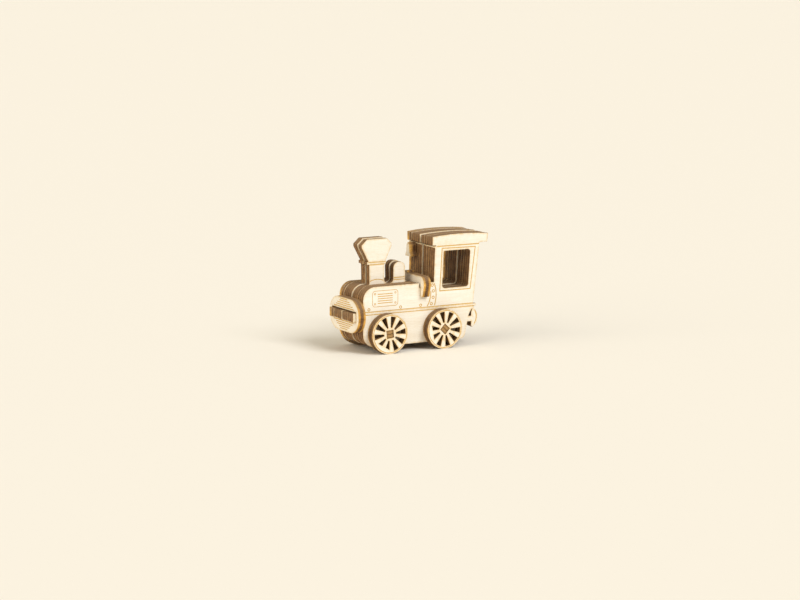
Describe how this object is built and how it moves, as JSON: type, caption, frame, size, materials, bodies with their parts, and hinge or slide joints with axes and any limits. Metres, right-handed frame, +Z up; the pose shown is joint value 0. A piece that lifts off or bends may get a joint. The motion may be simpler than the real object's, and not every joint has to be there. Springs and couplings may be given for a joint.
{
  "type": "wooden 3d puzzle locomotive",
  "caption": "Small layered plywood steam engine puzzle with a slotted face plate, a lift-off saddle, an open cab window and spoked wheels on square axles.",
  "frame": {"origin": "on the ground under the middle of the engine's bounding box", "axes": "+X towards the rear of the engine, so it faces -X; +Y towards its right side; +Z up"},
  "size_m": [0.0766, 0.0338, 0.0561],
  "materials": {
    "layer_ply": "unfinished basswood plywood with laser-scorched edges",
    "cross_ply": "unfinished basswood plywood with laser-scorched edges",
    "wheel_ply": "unfinished basswood plywood with laser-scorched edges",
    "axle_ply": "laser-scorched plywood strip"
  },
  "bodies": {
    "engine_body": {"body_layer_10": "layer_ply", "body_layer_11": "layer_ply", "body_layer_2": "layer_ply", "body_layer_3": "layer_ply", "body_layer_4": "layer_ply", "body_layer_9": "layer_ply", "chimney_layer_5": "layer_ply", "chimney_layer_6": "layer_ply", "chimney_layer_7": "layer_ply", "chimney_layer_8": "layer_ply", "side_plate_left": "layer_ply", "side_plate_right": "layer_ply", "bell_back": "cross_ply", "bell_front": "cross_ply"},
    "face_plate": {"face_plate_front": "cross_ply", "face_plate_back": "cross_ply"},
    "saddle": {"saddle_front": "cross_ply", "saddle_back": "cross_ply"},
    "front_wheelset": {"front_axle_lower_strip": "axle_ply", "front_axle_upper_strip": "axle_ply", "front_left_wheel_inner": "wheel_ply", "front_left_wheel_outer": "wheel_ply", "front_right_wheel_inner": "wheel_ply", "front_right_wheel_outer": "wheel_ply"},
    "rear_wheelset": {"rear_axle_lower_strip": "axle_ply", "rear_axle_upper_strip": "axle_ply", "rear_left_wheel_inner": "wheel_ply", "rear_left_wheel_outer": "wheel_ply", "rear_right_wheel_inner": "wheel_ply", "rear_right_wheel_outer": "wheel_ply"}
  },
  "joints": [
    {"name": "front_axle_spin", "type": "hinge", "parent": "engine_body", "child": "front_wheelset", "pos_m": [-0.0203, 0, 0.00985], "axis": [0, 1, 0], "continuous": true},
    {"name": "rear_axle_spin", "type": "hinge", "parent": "engine_body", "child": "rear_wheelset", "pos_m": [0.0108, 0, 0.00985], "axis": [0, 1, 0], "continuous": true},
    {"name": "face_plate_slide", "type": "slide", "parent": "engine_body", "child": "face_plate", "axis": [-1, 0, 0], "range_m": [0, 0.008]},
    {"name": "saddle_lift", "type": "slide", "parent": "engine_body", "child": "saddle", "axis": [0, 0, 1], "range_m": [0, 0.007]}
  ]
}
